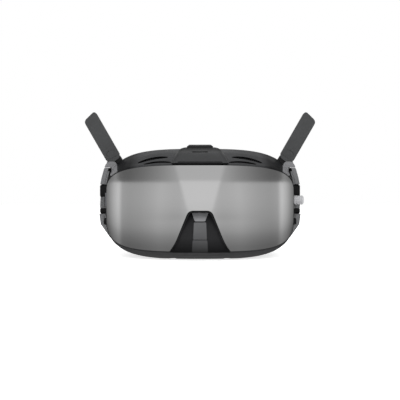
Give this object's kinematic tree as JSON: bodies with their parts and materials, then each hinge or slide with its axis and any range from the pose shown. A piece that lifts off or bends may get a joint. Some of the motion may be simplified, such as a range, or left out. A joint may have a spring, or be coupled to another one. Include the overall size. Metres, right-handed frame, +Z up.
{
  "type": "fpv goggles",
  "caption": "Compact video goggles with a wrap-round mirror visor, folding blade antennas, swinging headband arms, sliding focusing eyepieces and a cooling fan.",
  "frame": {"origin": "under the middle of the goggles' bounding box, on the surface they stand on", "axes": "+Z up, -Y the way the wearer looks (the visor's side), +X towards the wearer's left"},
  "size_m": [0.183, 0.104, 0.1133],
  "materials": {
    "visor_mirror": "mirror-coated polycarbonate, very smooth",
    "shell_grey": "fine-grained matt dark grey",
    "frame_black": "fine-grained matt black",
    "light_grey": "satin light grey",
    "foam_fabric": "knitted dark fabric over soft foam",
    "steel": "satin",
    "sink_aluminium": "satin anodised",
    "circuit_board": "green solder mask",
    "lens_glass": "polished, coated",
    "display_glass": "polished black"
  },
  "bodies": {
    "housing": {"visor": "visor_mirror", "visor_frame": "frame_black", "nose_bridge": "shell_grey", "top_shell": "shell_grey", "bottom_shell": "frame_black", "side_cover_left": "frame_black", "side_cover_right": "frame_black", "vent_hood": "shell_grey", "rear_frame": "frame_black", "proximity_sensor": "display_glass", "face_foam": "foam_fabric", "slide_rail_front": "steel", "slide_rail_rear": "steel", "rail_bracket_left": "frame_black", "rail_bracket_right": "frame_black", "main_board": "circuit_board", "heat_sink": "sink_aluminium", "fan_housing": "frame_black", "usb_c_port": "steel", "memory_card_slot": "steel", "audio_jack": "frame_black", "antenna_pin_left": "steel", "antenna_pin_right": "steel", "antenna_base_left": "light_grey", "antenna_base_right": "light_grey", "stick_board": "circuit_board", "shell_screw_front_left": "steel", "shell_screw_front_right": "steel", "shell_screw_rear_left": "steel", "shell_screw_rear_right": "steel"},
    "antenna_left": {"antenna_shell_left": "shell_grey", "antenna_cover_left": "shell_grey", "antenna_board_left": "circuit_board"},
    "arm_left": {"headband_arm_left": "shell_grey"},
    "eye_left": {"lens_barrel_left": "frame_black", "display_panel_left": "display_glass", "eyepiece_lens_left": "lens_glass"},
    "knob_left": {"diopter_knob_left": "light_grey"},
    "focus_left": {"focus_carriage_left": "light_grey", "focus_lens_left": "lens_glass"},
    "antenna_right": {"antenna_shell_right": "shell_grey", "antenna_cover_right": "shell_grey", "antenna_board_right": "circuit_board"},
    "arm_right": {"headband_arm_right": "shell_grey"},
    "eye_right": {"lens_barrel_right": "frame_black", "display_panel_right": "display_glass", "eyepiece_lens_right": "lens_glass"},
    "knob_right": {"diopter_knob_right": "light_grey"},
    "focus_right": {"focus_carriage_right": "light_grey", "focus_lens_right": "lens_glass"},
    "stick_ring": {"stick_gimbal": "steel"},
    "stick_post": {"stick_stem": "steel"},
    "stick_top": {"stick_cap": "light_grey"},
    "back_key": {"back_button": "shell_grey"},
    "link_key": {"link_button": "shell_grey"},
    "record_key": {"record_button": "shell_grey"},
    "fan": {"fan_impeller": "frame_black"}
  },
  "joints": [
    {"name": "antenna_fold_left", "type": "hinge", "parent": "housing", "child": "antenna_left", "pos_m": [0.0672, 0.008, 0.07375], "axis": [-0.8669, 0, 0.4985], "range_deg": [0, 90]},
    {"name": "arm_swing_left", "type": "hinge", "parent": "housing", "child": "arm_left", "pos_m": [0.0766, 0.004, 0.044], "axis": [0, 0, -1], "range_deg": [0, 15]},
    {"name": "eye_slide_left", "type": "slide", "parent": "housing", "child": "eye_left", "axis": [1, 0, 0], "range_m": [-0.004, 0.004]},
    {"name": "focus_slide_left", "type": "slide", "parent": "eye_left", "child": "focus_left", "axis": [0, 1, 0], "range_m": [-0.0031, 0.0031]},
    {"name": "diopter_turn_left", "type": "hinge", "parent": "eye_left", "child": "knob_left", "pos_m": [0.032, -0.006, 0.012], "axis": [0, 0, 1], "range_deg": [-60, 60]},
    {"name": "antenna_fold_right", "type": "hinge", "parent": "housing", "child": "antenna_right", "pos_m": [-0.0672, 0.008, 0.07375], "axis": [-0.8669, 0, -0.4985], "range_deg": [0, 90]},
    {"name": "arm_swing_right", "type": "hinge", "parent": "housing", "child": "arm_right", "pos_m": [-0.0766, 0.004, 0.044], "axis": [0, 0, 1], "range_deg": [0, 15]},
    {"name": "eye_slide_right", "type": "slide", "parent": "housing", "child": "eye_right", "axis": [-1, 0, 0], "range_m": [-0.004, 0.004]},
    {"name": "focus_slide_right", "type": "slide", "parent": "eye_right", "child": "focus_right", "axis": [0, 1, 0], "range_m": [-0.0031, 0.0031]},
    {"name": "diopter_turn_right", "type": "hinge", "parent": "eye_right", "child": "knob_right", "pos_m": [-0.032, -0.006, 0.012], "axis": [0, 0, 1], "range_deg": [-60, 60]},
    {"name": "stick_tilt_up_down", "type": "hinge", "parent": "housing", "child": "stick_ring", "pos_m": [0.0665, -0.006, 0.0435], "axis": [0, 1, 0], "range_deg": [-6, 6], "stiffness_Nm_per_rad": 0.05},
    {"name": "stick_tilt_front_back", "type": "hinge", "parent": "stick_ring", "child": "stick_post", "pos_m": [0.0665, -0.006, 0.0435], "axis": [0, 0, 1], "range_deg": [-6, 6], "stiffness_Nm_per_rad": 0.05},
    {"name": "stick_press", "type": "slide", "parent": "stick_post", "child": "stick_top", "axis": [-1, 0, 0], "range_m": [0, 0.0006], "stiffness_N_per_m": 600},
    {"name": "back_press", "type": "slide", "parent": "housing", "child": "back_key", "axis": [-1, 0, 0], "range_m": [0, 0.0006], "stiffness_N_per_m": 600},
    {"name": "link_press", "type": "slide", "parent": "housing", "child": "link_key", "axis": [1, 0, 0], "range_m": [0, 0.0006], "stiffness_N_per_m": 600},
    {"name": "record_press", "type": "slide", "parent": "housing", "child": "record_key", "axis": [0, 0, -1], "range_m": [0, 0.0006], "stiffness_N_per_m": 600},
    {"name": "fan_spin", "type": "hinge", "parent": "housing", "child": "fan", "pos_m": [0, -0.026, 0.059], "axis": [0, 1, 0], "continuous": true}
  ],
  "couplings": [
    {"joint": "diopter_turn_left", "follows": "focus_slide_left", "rad_per_m": 333.33},
    {"joint": "diopter_turn_right", "follows": "focus_slide_right", "rad_per_m": -333.33}
  ]
}
